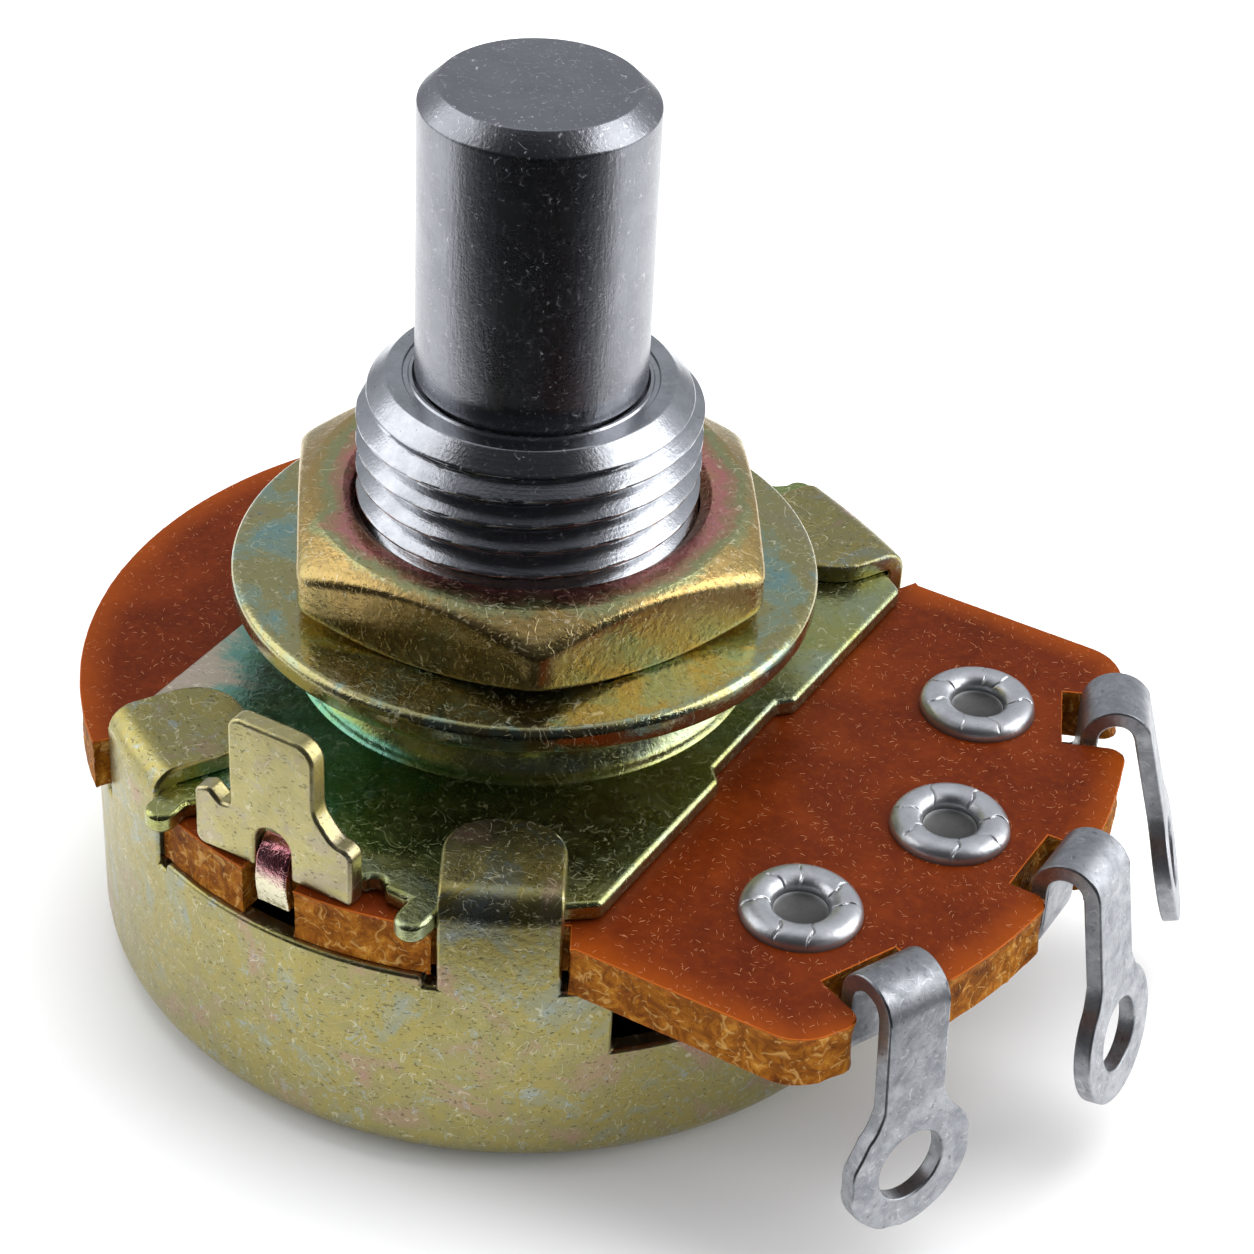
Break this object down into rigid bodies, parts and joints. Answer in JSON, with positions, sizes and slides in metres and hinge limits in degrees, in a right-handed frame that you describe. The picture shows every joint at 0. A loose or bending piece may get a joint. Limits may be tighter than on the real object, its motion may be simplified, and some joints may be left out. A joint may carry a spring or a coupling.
{
  "type": "rotary potentiometer",
  "caption": "Panel-mount rotary potentiometer with a plain round shaft, threaded bushing with nut and washer, folded metal case and a row of solder lugs on a laminate wafer.",
  "frame": {"origin": "centre of the back face of the case, on the shaft axis", "axes": "+Z along the shaft towards its free end, +X towards the solder lugs, the locating lug at -Y"},
  "size_m": [0.0323, 0.0244, 0.0266],
  "materials": {
    "zinc_case": "pale yellow chromate over zinc-plated steel sheet",
    "zinc_plate": "iridescent yellow chromate over zinc-plated steel sheet",
    "bushing_metal": "bright turned metal",
    "shaft_metal": "turned grey metal with fine scratches",
    "zinc_nut": "golden chromate over zinc-plated steel",
    "zinc_washer": "golden chromate over zinc-plated steel",
    "phenolic": "red-brown paper phenolic laminate with a satin face",
    "tinned": "grey tin plate",
    "eyelet_metal": "bright tin plate",
    "carbon_ink": "matt black carbon ink",
    "silver_ink": "pale silver ink",
    "moulded_black": "dark moulded phenolic",
    "spring_brass": "spring brass sheet",
    "spring_steel": "bare spring steel"
  },
  "bodies": {
    "housing": {"rear_case": "zinc_case", "front_plate": "zinc_plate", "bushing": "bushing_metal", "hex_nut": "zinc_nut", "flat_washer": "zinc_washer", "wafer": "phenolic", "terminal_1": "tinned", "terminal_2": "tinned", "terminal_3": "tinned", "eyelet_1": "eyelet_metal", "eyelet_2": "eyelet_metal", "eyelet_3": "eyelet_metal", "resistive_track": "carbon_ink", "collector_ring": "silver_ink", "track_contact_1": "silver_ink", "track_contact_3": "silver_ink"},
    "rotor_shaft": {"shaft": "shaft_metal", "rotor": "moulded_black", "wiper": "spring_brass", "friction_washer": "spring_brass", "retaining_ring": "spring_steel", "stop_washer": "spring_steel"}
  },
  "joints": [
    {"name": "shaft_turn", "type": "hinge", "parent": "housing", "child": "rotor_shaft", "pos_m": [0, 0, 0.01796], "axis": [0, 0, 1], "range_deg": [-150, 150]}
  ]
}
